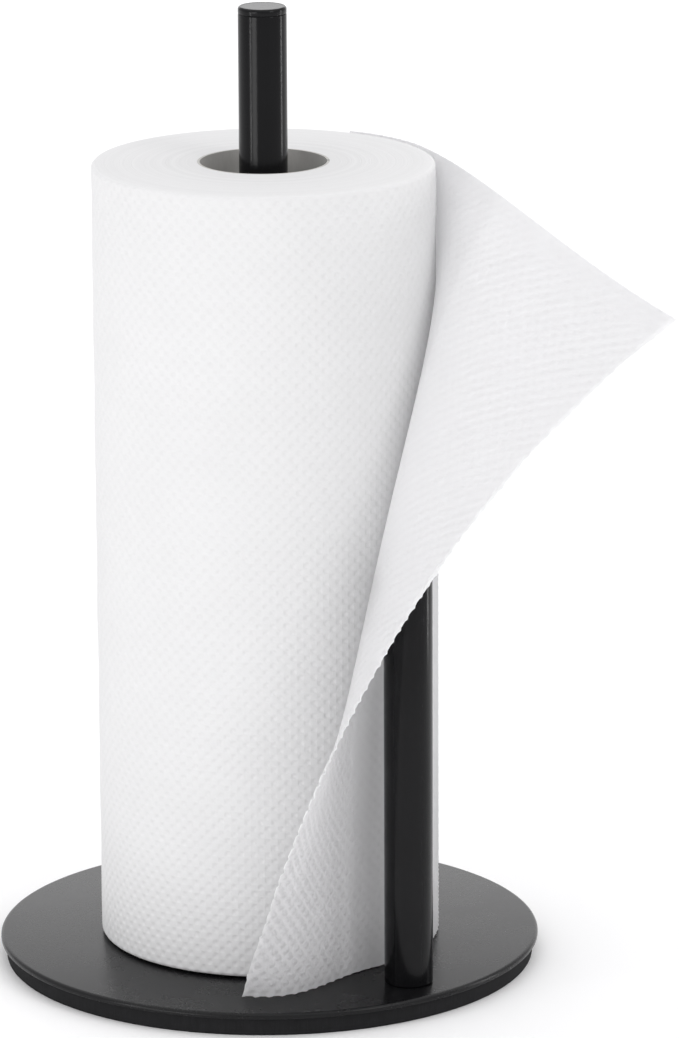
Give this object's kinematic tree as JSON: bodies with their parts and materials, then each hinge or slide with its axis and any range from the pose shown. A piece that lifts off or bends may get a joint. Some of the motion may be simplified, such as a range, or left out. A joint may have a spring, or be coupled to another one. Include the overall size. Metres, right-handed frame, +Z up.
{
  "type": "paper towel holder",
  "caption": "Counter-top paper towel holder: weighted round base, centre post, side tear bar, and a full roll with its loose end drawn out.",
  "frame": {"origin": "centre of the base's flat underside, on the centre post's axis", "axes": "+Z up along the centre post, +X from the centre post to the tear bar"},
  "size_m": [0.2427, 0.1924, 0.343],
  "materials": {
    "black_powder_coat": "satin",
    "zinc_steel": "satin",
    "black_rubber": "matte",
    "raw_steel": "matte",
    "cardboard": "matte",
    "wound_paper": "matte",
    "sheet_paper": "matte"
  },
  "bodies": {
    "holder": {"base_plate": "black_powder_coat", "rubber_pad": "black_rubber", "ballast_disc": "raw_steel", "centre_post": "black_powder_coat", "post_cap": "black_powder_coat", "post_threaded_plug": "zinc_steel", "post_screw": "zinc_steel", "post_spring_washer": "zinc_steel", "post_flat_washer": "zinc_steel", "tear_bar": "black_powder_coat", "bar_cap": "black_powder_coat", "bar_threaded_plug": "zinc_steel", "bar_screw": "zinc_steel", "bar_spring_washer": "zinc_steel", "bar_flat_washer": "zinc_steel"},
    "loose_sheet": {"free_sheet": "sheet_paper"},
    "roll": {"paper_roll": "wound_paper", "core_tube": "cardboard"}
  },
  "joints": [
    {"name": "roll_lift", "type": "slide", "parent": "holder", "child": "loose_sheet", "axis": [0, 0, 1], "range_m": [0, 0.34]},
    {"name": "roll_spin", "type": "hinge", "parent": "loose_sheet", "child": "roll", "pos_m": [0, 0, 0.15], "axis": [0, 0, 1], "continuous": true}
  ]
}
